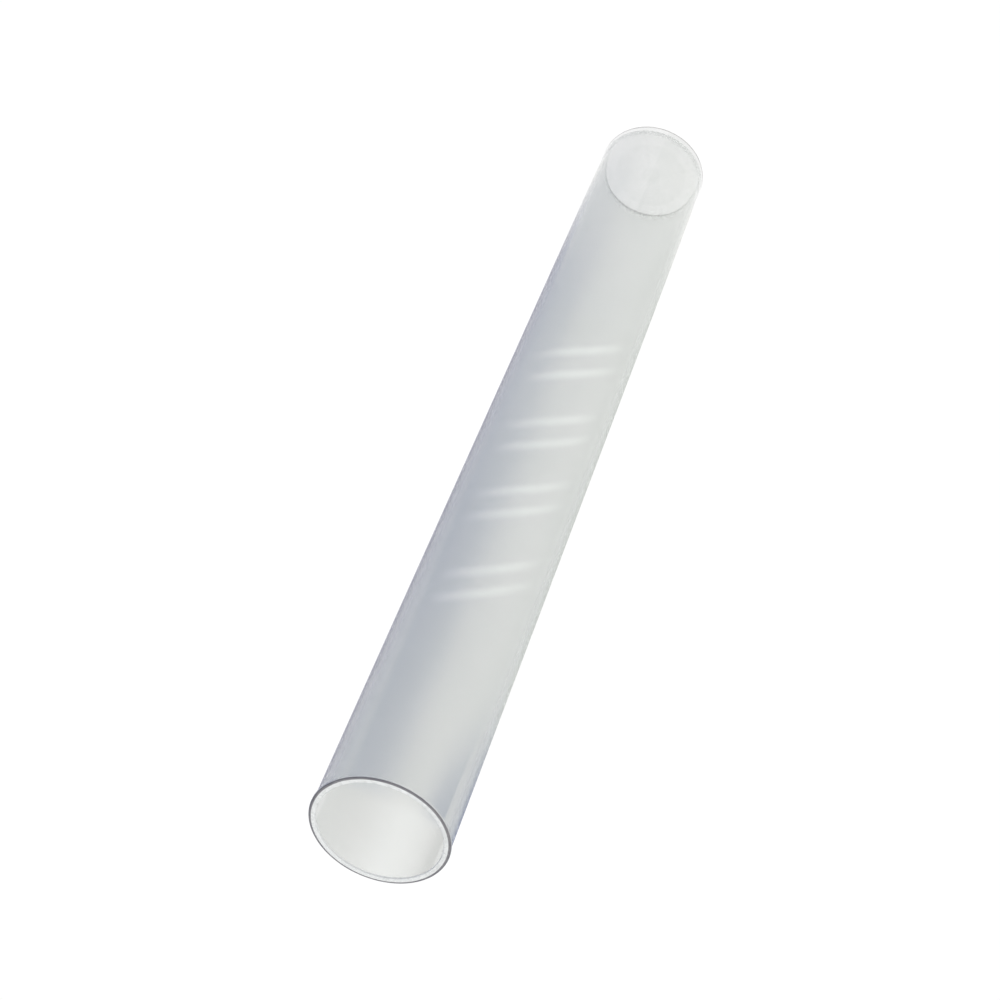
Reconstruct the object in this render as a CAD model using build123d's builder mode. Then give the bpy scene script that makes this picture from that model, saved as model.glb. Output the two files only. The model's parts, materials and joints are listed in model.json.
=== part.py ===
from build123d import *
import os

# Clear measuring tube of a manual rain gauge: it stands under the gauge's
# funnel and holds the catch. The origin is the centre of the base, +Z runs
# along the tube to its open mouth. All sizes are in millimetres.

# The bore has one tenth of the funnel's area, so the water stands ten times
# as high in it as the rain that fell.
funnel_radius = 50.8
magnification = 10
bore_radius = funnel_radius / magnification**0.5

wall = 1.6
outer_radius = bore_radius + wall
tube_length = 317.5

# The cut mouth is polished with heat, which leaves a small rounded bead.
bead_height = 1.0
bead_proud = 0.45
bead_round = 0.42
mouth_round = 0.35

# The closing disc is as wide as the tube and is cemented across its square-cut
# lower end.
disc_thickness = 3.0
disc_edge_chamfer = 0.5

# Solvent cement joins the two in a thin film, with a little squeezed out inside.
cement_gap = 0.1
cement_leg = 0.2
cement_hollow = 0.2 * cement_leg
tube_bottom = disc_thickness + cement_gap

os.makedirs("parts", exist_ok=True)


# Tube: a square-cut length of extruded tube, with the bead at its mouth.
with BuildPart() as tube:
    with BuildSketch(Plane.XY.offset(tube_bottom)):
        Circle(outer_radius)
        Circle(bore_radius, mode=Mode.SUBTRACT)
    extrude(amount=tube_length - tube_bottom)
    with BuildSketch(Plane.XY.offset(tube_length - bead_height)):
        Circle(outer_radius + bead_proud)
        Circle(bore_radius, mode=Mode.SUBTRACT)
    extrude(amount=bead_height)
    mouth_edges = tube.edges().filter_by(GeomType.CIRCLE).group_by(Axis.Z)[-1]
    fillet(mouth_edges.sort_by(SortBy.RADIUS)[0], mouth_round)
    bead_edges = tube.edges().filter_by(GeomType.CIRCLE).group_by(SortBy.RADIUS)[-1]
    fillet(bead_edges, bead_round)

# Base disc: plain sheet, with only its lower edge broken.
with BuildPart() as base_disc:
    with BuildSketch(Plane.XY):
        Circle(outer_radius)
    extrude(amount=disc_thickness)
    disc_edges = base_disc.edges().filter_by(GeomType.CIRCLE).group_by(Axis.Z)[0]
    chamfer(disc_edges, disc_edge_chamfer)

# Cement seam: the film under the tube's end and the small hollow fillet inside.
fillet_top = (bore_radius, disc_thickness + cement_leg)
fillet_toe = (bore_radius - cement_leg, disc_thickness)
with BuildPart() as cement_seam:
    with BuildSketch(Plane.XZ):
        with BuildLine():
            Line(fillet_toe, (outer_radius, disc_thickness))
            Line((outer_radius, disc_thickness), (outer_radius, tube_bottom))
            Line((outer_radius, tube_bottom), (bore_radius, tube_bottom))
            Line((bore_radius, tube_bottom), fillet_top)
            SagittaArc(fillet_top, fillet_toe, cement_hollow)
        make_face()
    revolve(axis=Axis.Z)

tube.part.label = "tube"
base_disc.part.label = "base_disc"
cement_seam.part.label = "cement_seam"

for piece in (tube, base_disc, cement_seam):
    export_step(piece.part, f"parts/{piece.part.label}.step")
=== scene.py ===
import json
import math

import bpy
from mathutils import Matrix, Vector


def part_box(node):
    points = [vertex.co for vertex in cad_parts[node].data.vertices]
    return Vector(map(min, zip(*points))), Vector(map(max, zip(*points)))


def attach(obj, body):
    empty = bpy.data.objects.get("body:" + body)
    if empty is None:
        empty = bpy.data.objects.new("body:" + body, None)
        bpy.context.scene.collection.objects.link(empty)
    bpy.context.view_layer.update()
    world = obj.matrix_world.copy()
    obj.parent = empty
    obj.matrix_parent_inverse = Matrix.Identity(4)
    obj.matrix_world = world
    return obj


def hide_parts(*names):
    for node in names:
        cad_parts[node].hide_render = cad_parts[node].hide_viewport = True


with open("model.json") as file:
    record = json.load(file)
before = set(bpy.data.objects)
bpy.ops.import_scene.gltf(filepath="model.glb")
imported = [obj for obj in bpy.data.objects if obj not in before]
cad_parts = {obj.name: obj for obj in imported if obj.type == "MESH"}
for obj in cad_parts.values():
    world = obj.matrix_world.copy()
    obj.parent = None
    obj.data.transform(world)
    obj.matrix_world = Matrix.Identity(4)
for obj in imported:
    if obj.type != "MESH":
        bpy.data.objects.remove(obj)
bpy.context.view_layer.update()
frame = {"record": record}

# ---------------------------------------------------------------- sizes
MM = 0.001
mounts = {mount["name"]: mount for mount in frame["record"]["mounts"]}


def box_radius(node_name):
    low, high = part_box(node_name)
    return min(high[0], high[1], -low[0], -low[1])


bore_radius = mounts["bore"]["dims"]["r_mm"] * MM
outer_radius = min(mounts["outside"]["dims"]["r_mm"] * MM, box_radius("base_disc"))
bead_radius = box_radius("tube")
tube_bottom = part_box("tube")[0][2]
tube_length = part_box("tube")[1][2]
disc_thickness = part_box("base_disc")[1][2]
seam_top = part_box("cement_seam")[1][2]
seam_leg = seam_top - disc_thickness

bead_height = 1.0 * MM
mouth_round = 0.35 * MM
mouth_bright = 1.28 * MM
disc_edge = 0.5 * MM
# Top of the matt band at the disc's foot, which also carries painted shade.
sawn_and_painted_shade_edge = 1.0 * MM
cement_hollow = 0.2 * seam_leg
air_gap = 0.01 * MM

STEPS_ROUND = 256


# ---------------------------------------------------------------- outlines
def arc(centre, radius, start, end, steps):
    """Points on an arc in the (radius, height) plane; angles in degrees."""
    points = []
    for step in range(steps + 1):
        angle = math.radians(start + (end - start) * step / steps)
        points.append((centre[0] + radius * math.cos(angle), centre[1] + radius * math.sin(angle)))
    return points


def tube_outline():
    """The wall's section, from its lower end up the outside and down the bore."""
    bead_centre = (bead_radius - bead_height / 2, tube_length - bead_height / 2)
    lip_centre = (bore_radius + mouth_round, tube_length - mouth_round)
    points = [(bore_radius, tube_bottom), (outer_radius, tube_bottom)]
    points += [(outer_radius, tube_length - bead_height)]
    points += arc(bead_centre, bead_height / 2, -80, 90, 14)
    points += [(bore_radius + mouth_bright, tube_length)]
    points += arc(lip_centre, mouth_round, 90, 180, 8)
    points += [(bore_radius, tube_bottom)]
    return points


def disc_outline():
    top = disc_thickness - air_gap
    points = [(0, 0), (outer_radius - disc_edge, 0), (outer_radius, disc_edge)]
    points += [(outer_radius, sawn_and_painted_shade_edge), (outer_radius, top), (0, top)]
    return points


def seam_outline():
    """The film under the tube's end and the hollow fillet inside it."""
    film_top = tube_bottom - air_gap
    wall_face = bore_radius - air_gap
    rim = min(outer_radius, box_radius("cement_seam"))
    leg = seam_leg
    points = [(wall_face - leg, disc_thickness), (rim, disc_thickness)]
    points += [(rim, film_top), (wall_face, film_top), (wall_face, seam_top)]
    for step in range(1, 8):
        share = step / 8
        sag = 4 * cement_hollow * share * (1 - share) / math.sqrt(2)
        points.append((wall_face - leg * share + sag, seam_top - leg * share - sag))
    points += [(wall_face - leg, disc_thickness)]
    return points


# ---------------------------------------------------------------- turning
def turning_tree():
    """Turns an outline round the Z axis: one ring of faces for each of its steps."""
    tree = bpy.data.node_groups.new("turned_piece", "GeometryNodeTree")
    face = tree.interface
    face.new_socket("Geometry", in_out="INPUT", socket_type="NodeSocketGeometry")
    face.new_socket("Outline", in_out="INPUT", socket_type="NodeSocketObject")
    face.new_socket("Steps Round", in_out="INPUT", socket_type="NodeSocketInt")
    face.new_socket("Sharp Above", in_out="INPUT", socket_type="NodeSocketFloat")
    face.new_socket("Finish", in_out="INPUT", socket_type="NodeSocketMaterial")
    face.new_socket("Bore Finish", in_out="INPUT", socket_type="NodeSocketMaterial")
    face.new_socket("Bore Inside", in_out="INPUT", socket_type="NodeSocketFloat")
    face.new_socket("Foot Below", in_out="INPUT", socket_type="NodeSocketFloat")
    face.new_socket("Cut Finish", in_out="INPUT", socket_type="NodeSocketMaterial")
    face.new_socket("Cut Above", in_out="INPUT", socket_type="NodeSocketFloat")
    face.new_socket("Edge Finish", in_out="INPUT", socket_type="NodeSocketMaterial")
    face.new_socket("Edge Above", in_out="INPUT", socket_type="NodeSocketFloat")
    face.new_socket("Edge Below", in_out="INPUT", socket_type="NodeSocketFloat")
    face.new_socket("Edge Outside", in_out="INPUT", socket_type="NodeSocketFloat")
    face.new_socket("Geometry", in_out="OUTPUT", socket_type="NodeSocketGeometry")
    nodes, links = tree.nodes, tree.links

    def node(kind, **settings):
        made = nodes.new(kind)
        for name, value in settings.items():
            setattr(made, name, value)
        return made

    def math_node(operation, first, second=None):
        made = node("ShaderNodeMath", operation=operation)
        for socket, value in zip(made.inputs, (first, second)):
            if isinstance(value, (int, float)):
                socket.default_value = value
            elif value is not None:
                links.new(value, socket)
        return made.outputs[0]

    group_in = node("NodeGroupInput")
    outline = node("GeometryNodeObjectInfo", transform_space="ORIGINAL")
    links.new(group_in.outputs["Outline"], outline.inputs["Object"])
    size = node("GeometryNodeAttributeDomainSize", component="MESH")
    links.new(outline.outputs["Geometry"], size.inputs["Geometry"])
    count = size.outputs["Point Count"]

    grid = node("GeometryNodeMeshGrid")
    links.new(math_node("ADD", group_in.outputs["Steps Round"], 1), grid.inputs["Vertices X"])
    links.new(count, grid.inputs["Vertices Y"])

    index = node("GeometryNodeInputIndex").outputs["Index"]
    ring = math_node("FLOOR", math_node("DIVIDE", math_node("ADD", index, 0.5), count))
    step = math_node("SUBTRACT", index, math_node("MULTIPLY", ring, count))
    place = node("GeometryNodeInputPosition")
    sample = node("GeometryNodeSampleIndex", data_type="FLOAT_VECTOR", domain="POINT")
    links.new(outline.outputs["Geometry"], sample.inputs["Geometry"])
    links.new(place.outputs["Position"], sample.inputs["Value"])
    links.new(step, sample.inputs["Index"])
    parts = node("ShaderNodeSeparateXYZ")
    links.new(sample.outputs["Value"], parts.inputs["Vector"])

    turn = math_node("MULTIPLY", math_node("DIVIDE", ring, group_in.outputs["Steps Round"]), math.tau)
    joined = node("ShaderNodeCombineXYZ")
    links.new(math_node("MULTIPLY", parts.outputs["X"], math_node("COSINE", turn)), joined.inputs["X"])
    links.new(math_node("MULTIPLY", parts.outputs["X"], math_node("SINE", turn)), joined.inputs["Y"])
    links.new(parts.outputs["Z"], joined.inputs["Z"])
    moved = node("GeometryNodeSetPosition")
    links.new(grid.outputs["Mesh"], moved.inputs["Geometry"])
    links.new(joined.outputs["Vector"], moved.inputs["Position"])

    merged = node("GeometryNodeMergeByDistance")
    merged.inputs["Distance"].default_value = 1e-6
    links.new(moved.outputs["Geometry"], merged.inputs["Geometry"])
    smooth = node("GeometryNodeSetShadeSmooth", domain="FACE")
    links.new(merged.outputs["Geometry"], smooth.inputs["Geometry"])
    bend = node("GeometryNodeInputMeshEdgeAngle")
    sharp = node("GeometryNodeSetShadeSmooth", domain="EDGE")
    sharp.inputs["Shade Smooth"].default_value = False
    links.new(smooth.outputs["Geometry"], sharp.inputs["Geometry"])
    is_sharp = node("FunctionNodeCompare", data_type="FLOAT", operation="GREATER_THAN")
    links.new(bend.outputs["Unsigned Angle"], is_sharp.inputs["A"])
    links.new(group_in.outputs["Sharp Above"], is_sharp.inputs["B"])
    links.new(is_sharp.outputs["Result"], sharp.inputs["Selection"])

    realized = node("GeometryNodeRealizeInstances")
    links.new(sharp.outputs["Geometry"], realized.inputs["Geometry"])
    finish = node("GeometryNodeSetMaterial")
    links.new(realized.outputs["Geometry"], finish.inputs["Geometry"])
    links.new(group_in.outputs["Finish"], finish.inputs["Material"])

    spot = node("ShaderNodeSeparateXYZ")
    links.new(place.outputs["Position"], spot.inputs["Vector"])
    across = math_node("MULTIPLY", spot.outputs["X"], spot.outputs["X"])
    along = math_node("MULTIPLY", spot.outputs["Y"], spot.outputs["Y"])
    radius = math_node("SQRT", math_node("ADD", across, along))
    height = spot.outputs["Z"]
    inside = math_node("LESS_THAN", radius, group_in.outputs["Bore Inside"])
    at_foot = math_node("LESS_THAN", height, group_in.outputs["Foot Below"])
    clean = math_node("MAXIMUM", inside, at_foot)
    bored = node("GeometryNodeSetMaterial")
    links.new(finish.outputs["Geometry"], bored.inputs["Geometry"])
    links.new(clean, bored.inputs["Selection"])
    links.new(group_in.outputs["Bore Finish"], bored.inputs["Material"])
    above_cut = math_node("GREATER_THAN", height, group_in.outputs["Cut Above"])
    cut = node("GeometryNodeSetMaterial")
    links.new(bored.outputs["Geometry"], cut.inputs["Geometry"])
    links.new(above_cut, cut.inputs["Selection"])
    links.new(group_in.outputs["Cut Finish"], cut.inputs["Material"])
    # The edge finish is painted shade: a darker material set on a band of faces chosen by height and
    # radius.
    above_edge = math_node("GREATER_THAN", height, group_in.outputs["Edge Above"])
    below_edge = math_node("LESS_THAN", height, group_in.outputs["Edge Below"])
    outside_edge = math_node("GREATER_THAN", radius, group_in.outputs["Edge Outside"])
    at_edge = math_node("MULTIPLY", math_node("MULTIPLY", above_edge, below_edge), outside_edge)
    edge = node("GeometryNodeSetMaterial")
    links.new(cut.outputs["Geometry"], edge.inputs["Geometry"])
    links.new(at_edge, edge.inputs["Selection"])
    links.new(group_in.outputs["Edge Finish"], edge.inputs["Material"])
    group_out = node("NodeGroupOutput")
    links.new(edge.outputs["Geometry"], group_out.inputs["Geometry"])
    return tree


def drop_empty_slots(mesh):
    """Leaves out material slots with nothing in them, keeping each face's own finish."""
    worn = [mesh.materials[face.material_index] for face in mesh.polygons]
    kept = [material for material in mesh.materials if material is not None]
    mesh.materials.clear()
    for material in kept:
        mesh.materials.append(material)
    for face, material in zip(mesh.polygons, worn):
        face.material_index = kept.index(material)


def turned_piece(tree, name, points, finish, bore=None, cut=None, edge=None, edge_limits=(0, 0, 0)):
    """Runs the turning tree on an outline and keeps the result as a plain mesh.

    The edge finish, a painted shade, goes between the two heights and outside the radius in edge_limits.
    """
    outline_mesh = bpy.data.meshes.new(name + "_outline")
    outline_mesh.from_pydata([(r, 0, z) for r, z in points], [], [])
    outline = bpy.data.objects.new(name + "_outline", outline_mesh)
    blank = bpy.data.objects.new(name + "_blank", bpy.data.meshes.new(name + "_blank"))
    bpy.context.collection.objects.link(outline)
    bpy.context.collection.objects.link(blank)
    turning = blank.modifiers.new("turning", "NODES")
    turning.node_group = tree
    values = {
        "Outline": outline,
        "Steps Round": STEPS_ROUND,
        "Sharp Above": math.radians(35),
        "Finish": finish,
        "Bore Finish": bore or finish,
        "Bore Inside": bore_radius + 0.05 * MM,
        "Foot Below": tube_bottom + 0.02 * MM,
        "Cut Finish": cut or finish,
        "Cut Above": tube_length - 1.02 * mouth_round,
        "Edge Finish": edge or finish,
        "Edge Above": edge_limits[0],
        "Edge Below": edge_limits[1],
        "Edge Outside": edge_limits[2],
    }
    for item in tree.interface.items_tree:
        if item.item_type == "SOCKET" and item.in_out == "INPUT" and item.name in values:
            turning[item.identifier] = values[item.name]
    evaluated = blank.evaluated_get(bpy.context.evaluated_depsgraph_get())
    mesh = bpy.data.meshes.new_from_object(evaluated)
    mesh.name = name
    drop_empty_slots(mesh)
    piece = bpy.data.objects.new(name, mesh)
    bpy.context.collection.objects.link(piece)
    bpy.data.objects.remove(blank)
    bpy.data.objects.remove(outline)
    return piece


# ---------------------------------------------------------------- finishes
def shader_group(name, inputs, output):
    """An empty shader node group with named value inputs and one value output."""
    group = bpy.data.node_groups.new(name, "ShaderNodeTree")
    group.interface.new_socket("Vector", in_out="INPUT", socket_type="NodeSocketVector")
    for label, value in inputs.items():
        socket = group.interface.new_socket(label, in_out="INPUT", socket_type="NodeSocketFloat")
        socket.default_value = value
    group.interface.new_socket(output, in_out="OUTPUT", socket_type="NodeSocketFloat")
    return group, group.nodes.new("NodeGroupInput"), group.nodes.new("NodeGroupOutput")


def stretch(group, group_in):
    """The coordinates, scaled by Across in X and Y and by Along in Z."""
    scale = group.nodes.new("ShaderNodeCombineXYZ")
    group.links.new(group_in.outputs["Across"], scale.inputs["X"])
    group.links.new(group_in.outputs["Across"], scale.inputs["Y"])
    group.links.new(group_in.outputs["Along"], scale.inputs["Z"])
    product = group.nodes.new("ShaderNodeVectorMath")
    product.operation = "MULTIPLY"
    group.links.new(group_in.outputs["Vector"], product.inputs[0])
    group.links.new(scale.outputs["Vector"], product.inputs[1])
    return product.outputs["Vector"]


def to_range(group, value, low, high, bottom, top):
    """Spreads a value between two inputs of the group."""
    spread = group.nodes.new("ShaderNodeMapRange")
    spread.interpolation_type = "SMOOTHSTEP"
    spread.inputs["From Min"].default_value = low
    spread.inputs["From Max"].default_value = high
    group.links.new(value, spread.inputs["Value"])
    group.links.new(bottom, spread.inputs["To Min"])
    group.links.new(top, spread.inputs["To Max"])
    return spread.outputs["Result"]


def mottle_group():
    """Soft uneven patches, long or round, between Low and High."""
    group, group_in, group_out = shader_group(
        "mottle", {"Across": 60, "Along": 60, "Low": 0, "High": 1}, "Value")
    noise = group.nodes.new("ShaderNodeTexNoise")
    noise.inputs["Scale"].default_value = 1
    noise.inputs["Detail"].default_value = 4
    group.links.new(stretch(group, group_in), noise.inputs["Vector"])
    value = to_range(group, noise.outputs["Fac"], 0.3, 0.7,
                     group_in.outputs["Low"], group_in.outputs["High"])
    group.links.new(value, group_out.inputs["Value"])
    return group


def scuff_group():
    """Sparse fine marks: 0 on clean plastic and High on a mark."""
    group, group_in, group_out = shader_group(
        "scuffs", {"Across": 300, "Along": 60, "Clean": 0, "High": 1}, "Mask")
    vector = stretch(group, group_in)
    bend = group.nodes.new("ShaderNodeTexNoise")
    bend.inputs["Scale"].default_value = 0.6
    group.links.new(vector, bend.inputs["Vector"])
    shift = group.nodes.new("ShaderNodeVectorMath")
    group.links.new(vector, shift.inputs[0])
    group.links.new(bend.outputs["Color"], shift.inputs[1])
    cells = group.nodes.new("ShaderNodeTexVoronoi")
    cells.feature = "DISTANCE_TO_EDGE"
    cells.inputs["Scale"].default_value = 1
    group.links.new(shift.outputs["Vector"], cells.inputs["Vector"])
    line = to_range(group, cells.outputs["Distance"], 0.03, 0.0,
                    group_in.outputs["Clean"], group_in.outputs["High"])
    where = group.nodes.new("ShaderNodeTexNoise")
    where.inputs["Scale"].default_value = 0.25
    group.links.new(vector, where.inputs["Vector"])
    patchy = group.nodes.new("ShaderNodeMapRange")
    patchy.inputs["From Min"].default_value = 0.52
    patchy.inputs["From Max"].default_value = 0.7
    group.links.new(where.outputs["Fac"], patchy.inputs["Value"])
    both = group.nodes.new("ShaderNodeMath")
    both.operation = "MULTIPLY"
    group.links.new(line, both.inputs[0])
    group.links.new(patchy.outputs["Result"], both.inputs[1])
    group.links.new(both.outputs["Value"], group_out.inputs["Mask"])
    return group


def bubble_group():
    """Small round spots of many sizes, for bubbles in the cement."""
    group, group_in, group_out = shader_group(
        "bubbles", {"Across": 2500, "Along": 2500, "Clean": 0, "High": 1}, "Mask")
    cells = group.nodes.new("ShaderNodeTexVoronoi")
    cells.inputs["Scale"].default_value = 1
    group.links.new(stretch(group, group_in), cells.inputs["Vector"])
    spots = to_range(group, cells.outputs["Distance"], 0.35, 0.2,
                     group_in.outputs["Clean"], group_in.outputs["High"])
    group.links.new(spots, group_out.inputs["Mask"])
    return group


mottle = mottle_group()
scuffs = scuff_group()
bubbles = bubble_group()


class Finish:
    """A Principled material whose patterns come from the shared groups above."""

    def __init__(self, name, **values):
        self.material = bpy.data.materials.new(name)
        self.material.use_nodes = True
        self.nodes = self.material.node_tree.nodes
        self.links = self.material.node_tree.links
        self.shader = self.nodes["Principled BSDF"]
        self.place = self.nodes.new("ShaderNodeTexCoord")
        for socket, value in values.items():
            self.shader.inputs[socket.replace("_", " ")].default_value = value

    def pattern(self, group, **values):
        made = self.nodes.new("ShaderNodeGroup")
        made.node_tree = group
        self.links.new(self.place.outputs["Object"], made.inputs["Vector"])
        for socket, value in values.items():
            made.inputs[socket].default_value = value
        return made.outputs[0]

    def add(self, first, second):
        made = self.nodes.new("ShaderNodeMath")
        made.operation = "ADD"
        self.links.new(first, made.inputs[0])
        self.links.new(second, made.inputs[1])
        return made.outputs["Value"]

    def colour(self, first, second, share):
        mixed = self.nodes.new("ShaderNodeMix")
        mixed.data_type = "RGBA"
        mixed.inputs["A"].default_value = (*first, 1)
        mixed.inputs["B"].default_value = (*second, 1)
        self.links.new(share, mixed.inputs["Factor"])
        self.links.new(mixed.outputs["Result"], self.shader.inputs["Base Color"])

    def roughness(self, value):
        self.links.new(value, self.shader.inputs["Roughness"])

    def bump(self, height, depth, strength=1.0):
        made = self.nodes.new("ShaderNodeBump")
        made.inputs["Strength"].default_value = strength
        made.inputs["Distance"].default_value = depth
        self.links.new(height, made.inputs["Height"])
        self.links.new(made.outputs["Normal"], self.shader.inputs["Normal"])
        return made


def clear_tube_material():
    """Extruded plastic: faint draw lines along it, soft haze and a few scuffs."""
    finish = Finish(
        "clear_tube", IOR=1.06, Transmission_Weight=0.74,
        Coat_Weight=1.0, Coat_IOR=1.49, Coat_Roughness=0.06)
    lines = finish.pattern(mottle, Across=900, Along=6, Low=0, High=1)
    haze = finish.pattern(mottle, Across=45, Along=22, Low=0, High=1)
    marks = finish.pattern(scuffs, Across=500, Along=25, Clean=0, High=0.07)
    grain = finish.pattern(mottle, Across=120, Along=40, Low=0.05, High=0.11)
    finish.colour((0.700, 0.715, 0.706), (0.726, 0.736, 0.727), haze)
    finish.roughness(finish.add(grain, marks))
    finish.bump(lines, 0.004 * MM, 0.3)
    return finish.material


def clear_bore_material():
    """The inside of the same plastic: cleaner, with the same draw lines."""
    finish = Finish("clear_bore", IOR=1.06, Transmission_Weight=1.0)
    lines = finish.pattern(mottle, Across=900, Along=6, Low=0, High=1)
    haze = finish.pattern(mottle, Across=50, Along=15, Low=0, High=1)
    grain = finish.pattern(mottle, Across=90, Along=30, Low=0.03, High=0.08)
    finish.colour((0.96, 0.97, 0.96), (0.99, 0.99, 0.985), haze)
    finish.roughness(grain)
    finish.bump(lines, 0.004 * MM, 0.3)
    return finish.material


def clear_sheet_material():
    """Cast sheet: even, with light haze and scuffs from standing on it."""
    finish = Finish(
        "clear_sheet", IOR=1.07, Transmission_Weight=0.95,
        Coat_Weight=0.35, Coat_IOR=1.49, Coat_Roughness=0.05)
    haze = finish.pattern(mottle, Across=110, Along=110, Low=0, High=1)
    marks = finish.pattern(scuffs, Across=380, Along=380, Clean=0, High=0.3)
    grain = finish.pattern(mottle, Across=300, Along=300, Low=0.04, High=0.09)
    ripple = finish.pattern(mottle, Across=500, Along=500, Low=0, High=1)
    finish.colour((0.78, 0.785, 0.775), (0.82, 0.82, 0.815), haze)
    finish.roughness(finish.add(grain, marks))
    finish.bump(ripple, 0.004 * MM, 0.5)
    return finish.material


def sheet_edge_material():
    """The foot of the disc's edge, matt from the saw; its grey colour is painted shade for the dark line
    round the disc's rim.
    """
    finish = Finish(
        "sheet_edge_matt_and_painted_shade", IOR=1.07, Transmission_Weight=0.6,
        Coat_Weight=0.2, Coat_IOR=1.49, Coat_Roughness=0.2)
    tone = finish.pattern(mottle, Across=300, Along=300, Low=0, High=1)
    grain = finish.pattern(mottle, Across=1200, Along=1200, Low=0.25, High=0.45)
    ripple = finish.pattern(mottle, Across=2000, Along=2000, Low=0, High=1)
    # Painted shade: the grey base colour darkens the foot of the disc's edge.
    finish.colour((0.40, 0.39, 0.38), (0.50, 0.49, 0.48), tone)
    finish.roughness(grain)
    finish.bump(ripple, 0.01 * MM, 0.5)
    return finish.material


def cement_material():
    """Dried solvent cement: slightly milky, with tiny bubbles."""
    finish = Finish(
        "cement", IOR=1.06, Transmission_Weight=0.95,
        Coat_Weight=0.2, Coat_IOR=1.49, Coat_Roughness=0.1)
    milk = finish.pattern(mottle, Across=700, Along=700, Low=0, High=1)
    spots = finish.pattern(bubbles, Across=2600, Along=2600, Clean=0, High=0.3)
    grain = finish.pattern(mottle, Across=900, Along=900, Low=0.15, High=0.35)
    finish.colour((0.89, 0.90, 0.895), (0.93, 0.935, 0.93), milk)
    finish.roughness(finish.add(grain, spots))
    finish.bump(spots, 0.01 * MM, 0.2)
    return finish.material


def mouth_face_material():
    """The cut face, whitened by the light that the wall carries to it."""
    finish = Finish(
        "mouth_face", IOR=1.2, Transmission_Weight=0.15,
        Coat_Weight=0.4, Coat_IOR=1.49, Coat_Roughness=0.15)
    tone = finish.pattern(mottle, Across=350, Along=350, Low=0, High=1)
    grain = finish.pattern(mottle, Across=800, Along=800, Low=0.2, High=0.4)
    ripple = finish.pattern(mottle, Across=1500, Along=1500, Low=0, High=1)
    finish.colour((0.61, 0.625, 0.625), (0.69, 0.70, 0.70), tone)
    finish.roughness(grain)
    finish.bump(ripple, 0.01 * MM, 0.5)
    return finish.material


def mouth_edge_material():
    """The rounded outer edge, where the wall turns the light away: its dark grey colour is painted shade.
    """
    finish = Finish(
        "mouth_edge_painted_shade", IOR=1.1, Transmission_Weight=0.1,
        Coat_Weight=0.2, Coat_IOR=1.49, Coat_Roughness=0.2)
    tone = finish.pattern(mottle, Across=250, Along=250, Low=0, High=1)
    grain = finish.pattern(mottle, Across=800, Along=800, Low=0.1, High=0.22)
    ripple = finish.pattern(mottle, Across=1500, Along=1500, Low=0, High=1)
    # Painted shade: a dark grey base colour stands in for the dark line along the mouth's outer edge.
    finish.colour((0.15, 0.148, 0.165), (0.21, 0.205, 0.215), tone)
    finish.roughness(grain)
    finish.bump(ripple, 0.01 * MM, 0.5)
    return finish.material


# ---------------------------------------------------------------- the pieces
tree = turning_tree()
# Where the mouth's painted shade goes: the top of the rounded bead, outside the flat face.
mouth_edge_painted_shade_limits = (tube_length - 0.3 * bead_height, tube_length + bead_height, bore_radius + mouth_bright)
# Where the disc's painted shade goes: the foot of its edge, up to the top of the matt band.
sawn_and_painted_shade_edge_limits = (air_gap, sawn_and_painted_shade_edge, outer_radius - disc_edge)
tube = turned_piece(
    tree, "measuring_tube", tube_outline(), clear_tube_material(),
    clear_bore_material(), mouth_face_material(), mouth_edge_material(),
    mouth_edge_painted_shade_limits)
disc = turned_piece(
    tree, "closing_disc", disc_outline(), clear_sheet_material(),
    edge=sheet_edge_material(), edge_limits=sawn_and_painted_shade_edge_limits)
seam = turned_piece(tree, "cement_fillet", seam_outline(), cement_material())

for piece, node_name, slot in (
    (tube, "tube", "clear_tube"),
    (disc, "base_disc", "clear_sheet"),
    (seam, "cement_seam", "cement"),
):
    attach(piece, "root")
    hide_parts(node_name)


# ---------------------------------------------------------------- floor, world and lights
def glow(name, colour, strength=1.0):
    """A plain even glow, for the floor and the cards round the tube."""
    material = bpy.data.materials.new(name)
    material.use_nodes = True
    nodes = material.node_tree.nodes
    nodes.clear()
    emission = nodes.new("ShaderNodeEmission")
    emission.inputs["Color"].default_value = (*colour, 1)
    emission.inputs["Strength"].default_value = strength
    out = nodes.new("ShaderNodeOutputMaterial")
    material.node_tree.links.new(emission.outputs[0], out.inputs["Surface"])
    return material


def quad(name, corners, material):
    mesh = bpy.data.meshes.new(name)
    mesh.from_pydata(corners, [], [range(4)])
    mesh.materials.append(material)
    made = bpy.data.objects.new(name, mesh)
    bpy.context.collection.objects.link(made)
    return made


# The camera stands in front of the tube and above its mouth, in tube radii.
camera_place = Vector((0, -24.9 * outer_radius, tube_length + 21.18 * outer_radius))

floor_half = 3.0
floor_corners = [(-floor_half, -floor_half, 0), (floor_half, -floor_half, 0),
                 (floor_half, floor_half, 0), (-floor_half, floor_half, 0)]
quad("floor", floor_corners, glow("floor_white", (1, 1, 1), 1.02))

world = bpy.data.worlds.new("studio")
bpy.context.scene.world = world
world.use_nodes = True
SLATE = (0.10, 0.15, 0.36)
LAVENDER = (0.44, 0.44, 0.52)
PALE_SLATE = (0.28, 0.32, 0.44)
SOFT_GREY = (0.70, 0.73, 0.70)
WARM_WHITE = (1.0, 1.0, 0.98)
PALE = (0.95, 0.95, 0.95)
STREAK_GLOW = 2.0
STREAK_BEND = 1.2
STREAK_RISE = 0.87
STREAK_REACH = 0.085
STREAK_HALF = 3.0 * MM
# How far each streak's middle lies from the mouth, in outside diameters.
STREAKS = (2.00, 2.27, 2.97, 3.26, 3.86, 4.17, 4.84, 5.18)


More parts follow.
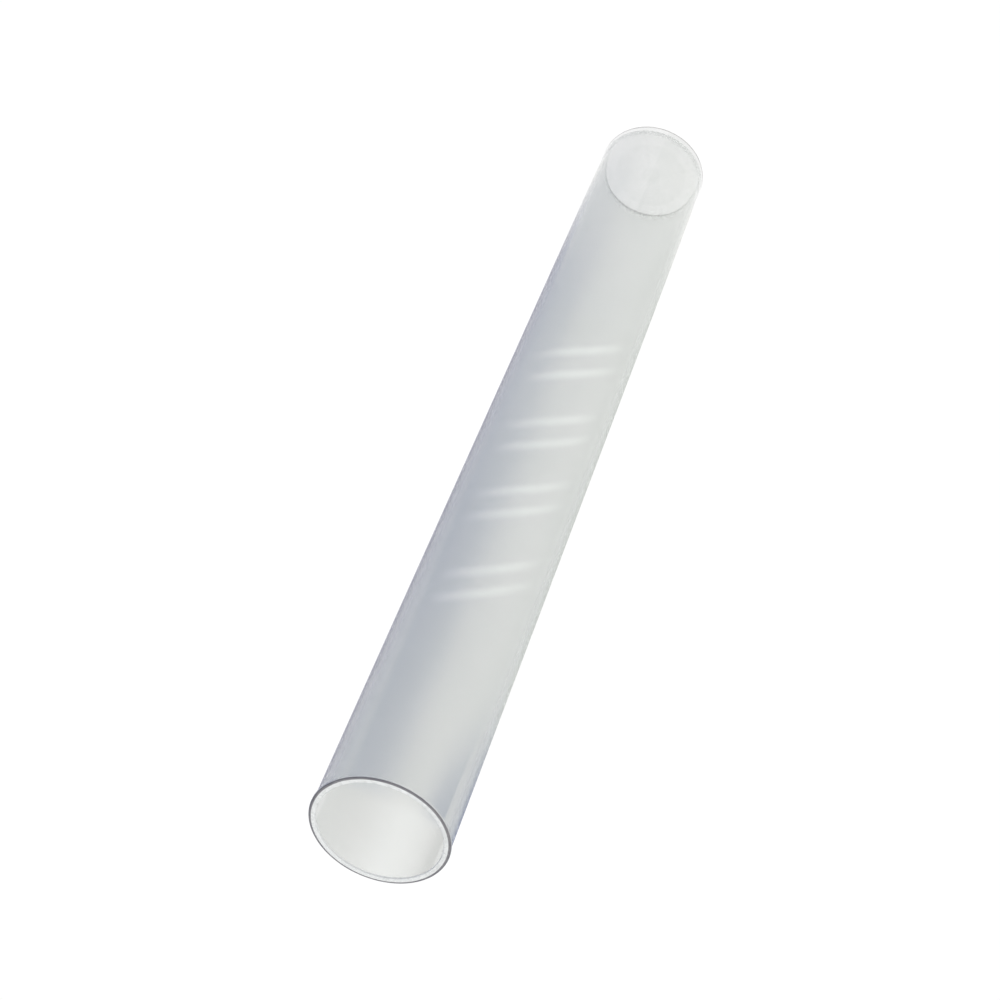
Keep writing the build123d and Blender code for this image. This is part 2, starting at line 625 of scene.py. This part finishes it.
def graded_world(tree):
    """White, but slate low on the +X side; plain and pale to the camera and through plastic."""
    nodes, links = tree.nodes, tree.links
    direction = nodes.new("ShaderNodeTexCoord")
    parts = nodes.new("ShaderNodeSeparateXYZ")
    share = nodes.new("ShaderNodeMapRange")
    share.interpolation_type = "SMOOTHSTEP"
    share.inputs["From Min"].default_value = -0.5
    share.inputs["From Max"].default_value = 0.6
    shade = nodes.new("ShaderNodeMix")
    shade.data_type = "RGBA"
    path = nodes.new("ShaderNodeLightPath")
    seen = nodes.new("ShaderNodeMix")
    seen.data_type = "RGBA"
    low = nodes.new("ShaderNodeMapRange")
    low.interpolation_type = "SMOOTHSTEP"
    low.inputs["From Min"].default_value = 0.7
    low.inputs["From Max"].default_value = 0.1
    both = nodes.new("ShaderNodeMath")
    both.operation = "MULTIPLY"
    links.new(direction.outputs["Generated"], parts.inputs["Vector"])
    links.new(parts.outputs["X"], share.inputs["Value"])
    links.new(parts.outputs["Z"], low.inputs["Value"])
    links.new(share.outputs["Result"], both.inputs[0])
    links.new(low.outputs["Result"], both.inputs[1])
    links.new(both.outputs["Value"], shade.inputs["Factor"])
    shade.inputs["A"].default_value = (*WARM_WHITE, 1)
    shade.inputs["B"].default_value = (*SLATE, 1)
    through = nodes.new("ShaderNodeMath")
    through.operation = "MAXIMUM"
    links.new(path.outputs["Is Camera Ray"], through.inputs[0])
    links.new(path.outputs["Is Transmission Ray"], through.inputs[1])
    links.new(through.outputs["Value"], seen.inputs["Factor"])
    links.new(shade.outputs["Result"], seen.inputs["A"])
    seen.inputs["B"].default_value = (*PALE, 1)
    links.new(seen.outputs["Result"], nodes["Background"].inputs["Color"])


graded_world(world.node_tree)


def smooth(low, high, value):
    share = min(max((value - low) / (high - low), 0), 1)
    return share * share * (3 - 2 * share)


def blend(first, second, share):
    return [a + (b - a) * share for a, b in zip(first, second)]


def left_colour(bearing, radius, height):
    """White in front, slate beside the tube and lavender behind; white near the foot."""
    deep = blend(SLATE, LAVENDER, smooth(85, 140, bearing))
    start = 5 - 45 * smooth(0.03, 0.16, height)
    behind = smooth(95, 135, bearing)
    near = smooth(0.035 - 0.02 * behind, 0.095 - 0.045 * behind, radius)
    return blend(WARM_WHITE, deep, smooth(start, 55, bearing) * near)


def right_colour(bearing, radius, height):
    """Soft grey, with slate high up."""
    high = smooth(0.175, 0.235, height) * smooth(50, 90, bearing)
    grey = blend(SOFT_GREY, PALE_SLATE, high)
    return blend(WARM_WHITE, grey, smooth(40, 95, bearing) * smooth(0.02, 0.04, radius))


def cove(name, side, start, end, colour_at):
    """A curved card standing round one side of the tube, coloured corner by corner."""
    inner, outer, height = 0.022, 0.09, 0.31
    bend = 0.03
    section = [(inner, 0.0006), (outer - bend, 0.0006)]
    section += [(outer - bend + bend * math.sin(turn), 0.0006 + bend - bend * math.cos(turn))
                for turn in (math.radians(15 * step) for step in range(1, 7))]
    section += [(outer, bend + (height - bend) * rise / 24) for rise in range(1, 25)]
    steps = int((end - start) / 3)
    corners, colours = [], []
    for step in range(steps + 1):
        bearing = start + (end - start) * step / steps
        east, north = side * math.sin(math.radians(bearing)), -math.cos(math.radians(bearing))
        corners += [(r * east, r * north, z) for r, z in section]
        colours += [(*colour_at(bearing, r, z), 1) for r, z in section]
    return tinted_card(name, corners, len(section), colours, False)


def tinted_card(name, corners, width, colours, through):
    """A glowing card, hidden from the camera, with its own colour at each corner.

    The corners lie in rows of the given width. Only a card with through set is seen
    through the plastic.
    """
    faces = []
    for row in range(len(corners) // width - 1):
        for column in range(width - 1):
            first = row * width + column
            faces.append((first, first + width, first + width + 1, first + 1))
    mesh = bpy.data.meshes.new(name)
    mesh.from_pydata(corners, [], faces)
    tint = mesh.color_attributes.new("tint", "FLOAT_COLOR", "POINT")
    for item, colour in zip(tint.data, colours):
        item.color = colour
    material = glow(name, (1, 1, 1))
    nodes, links = material.node_tree.nodes, material.node_tree.links
    read = nodes.new("ShaderNodeAttribute")
    read.attribute_name = "tint"
    links.new(read.outputs["Color"], nodes["Emission"].inputs["Color"])
    mesh.materials.append(material)
    made = bpy.data.objects.new(name, mesh)
    bpy.context.collection.objects.link(made)
    made.visible_camera = False
    made.visible_transmission = through
    made.visible_shadow = False
    return made


cove("left_cove", 1, -40, 132, left_colour)
cove("left_cove_back", 1, 132, 180, left_colour)
cove("right_cove", -1, 40, 180, right_colour)


def streak_strip(name, from_mouth):
    """A thin glowing strip that the tube mirrors as a soft streak across its front.

    A straight round wall mirrors a point at angle turn about the axis in the
    direction twice turn, and the mirrored ray keeps its steepness, so the strip
    is laid out from the place where the streak lies on the tube.
    """
    height_mid = tube_length - from_mouth * 2 * outer_radius
    drop = (camera_place.z - height_mid) / (-camera_place.y - outer_radius)
    corners, colours = [], []
    steps, rows = 40, 6
    for step in range(steps + 1):
        turn = math.radians(-52 + 98 * step / steps)
        level = height_mid + STREAK_RISE * outer_radius * (turn - math.radians(5))
        level -= STREAK_BEND * outer_radius * (1 - math.cos(turn))
        run = math.sqrt(STREAK_REACH ** 2 - (outer_radius * math.sin(turn)) ** 2)
        run -= outer_radius * math.cos(turn)
        east = outer_radius * math.sin(turn) + run * math.sin(2 * turn)
        north = -outer_radius * math.cos(turn) - run * math.cos(2 * turn)
        ends = smooth(0, 0.45, step / steps) * smooth(1, 0.6, step / steps)
        for row in range(rows + 1):
            across = 2 * row / rows - 1
            corners.append((east, north, level - run * drop + STREAK_HALF * across))
            glow_here = STREAK_GLOW * ends * (1 - across ** 2)
            colours.append((glow_here, glow_here, glow_here, 1))
    made = tinted_card(name, corners, rows + 1, colours, False)
    made.visible_diffuse = False
    add_to_behind(made.data.materials[0])
    return made


def add_to_behind(material):
    """Lets a card's glow add to what is behind it."""
    nodes, links = material.node_tree.nodes, material.node_tree.links
    clear = nodes.new("ShaderNodeBsdfTransparent")
    both = nodes.new("ShaderNodeAddShader")
    links.new(clear.outputs[0], both.inputs[0])
    links.new(nodes["Emission"].outputs[0], both.inputs[1])
    links.new(both.outputs[0], nodes["Material Output"].inputs["Surface"])


def floor_colour(east, north):
    """Painted shade and a painted highlight, seen through the wall: softer inside the mouth and at the
    sides, with a bright hump inside the mouth.
    """
    inside = smooth(0.3405, 0.3525, north) * smooth(0.450, 0.438, north)
    # Painted highlight: a bright hump inside the mouth.
    painted_highlight_hump = math.exp(-((east + 0.010) / 0.017) ** 2)
    inner = 0.91 + 0.25 * painted_highlight_hump - 0.09 * smooth(-0.022, -0.034, east)
    # Painted shade along the +X side of the tube.
    beside = smooth(-0.006, 0.016, east) * smooth(0.040, 0.028, east) * smooth(0.07, 0.20, north)
    # Painted shade in a patch on the -X side.
    painted_shade_patch = smooth(0.26, 0.345, north) * smooth(-0.010, -0.030, east) * (1 - inside)
    colour = []
    # For each colour channel: how much the side's and the patch's painted shade take away.
    for side_cut, patch_cut in ((0.23, 0.48), (0.21, 0.44), (0.16, 0.32)):
        outer = 1.02 - side_cut * beside
        colour.append((outer + (inner - outer) * inside) * (1 - patch_cut * painted_shade_patch))
    return colour


def floor_card():
    """A card on the floor with painted shade and a painted highlight, seen only through the plastic."""
    corners, colours = [], []
    columns, rows = 60, 96
    east_step, north_step = 0.0015, 0.004
    for row in range(rows + 1):
        north = 0.066 + north_step * row
        for column in range(columns + 1):
            east = east_step * (column - columns / 2)
            red, green, blue = floor_colour(east, north)
            corners.append((east, north, 0.0008))
            colours.append((red, green, 0.99 * blue, 1))
    made = tinted_card("floor_card", corners, columns + 1, colours, True)
    made.visible_diffuse = False
    made.visible_glossy = False


def soft_lamp(name, place, aim, size, power):
    """A square soft lamp that points at a spot on the tube."""
    data = bpy.data.lights.new(name, "AREA")
    data.size = size
    data.energy = power
    lamp = bpy.data.objects.new(name, data)
    lamp.location = place
    lamp.rotation_euler = (Vector(aim) - Vector(place)).to_track_quat("-Z", "Y").to_euler()
    lamp.visible_camera = False
    bpy.context.collection.objects.link(lamp)
    return lamp


for number, from_mouth in enumerate(STREAKS):
    streak_strip("strip_" + str(number), from_mouth)
floor_card()

middle = (0, 0, tube_length / 2)
soft_lamp("key", (-0.75, -1.0, 0.75), middle, 0.7, 3)
soft_lamp("back", (0, 0.95, 1.4), (0, 0, tube_length), 0.6, 4)

cycles = bpy.context.scene.cycles
cycles.max_bounces = 32
cycles.glossy_bounces = 16
cycles.transmission_bounces = 24

# ---------------------------------------------------------------- camera
camera_data = bpy.data.cameras.new("camera")
camera_data.lens = 85.2
camera_data.sensor_width = 36
camera = bpy.data.objects.new("camera", camera_data)
bpy.context.collection.objects.link(camera)
bpy.context.scene.camera = camera

# Sight: looking down at the tube, with the picture turned so that the mouth
# comes at its lower left.
camera_turn = math.radians(0.56)
camera_tilt = math.radians(48.86)
camera_roll = math.radians(157.1)
forward = Vector((
    math.sin(camera_turn) * math.cos(camera_tilt),
    math.cos(camera_turn) * math.cos(camera_tilt),
    -math.sin(camera_tilt),
))
level_right = forward.cross(Vector((0, 0, 1))).normalized()
level_up = level_right.cross(forward)
right = level_right * math.cos(camera_roll) - level_up * math.sin(camera_roll)
up = level_right * math.sin(camera_roll) + level_up * math.cos(camera_roll)
camera.matrix_world = Matrix((
    (right.x, up.x, -forward.x, camera_place.x),
    (right.y, up.y, -forward.y, camera_place.y),
    (right.z, up.z, -forward.z, camera_place.z),
    (0, 0, 0, 1),
))

bpy.context.scene.view_settings.view_transform = "Standard"
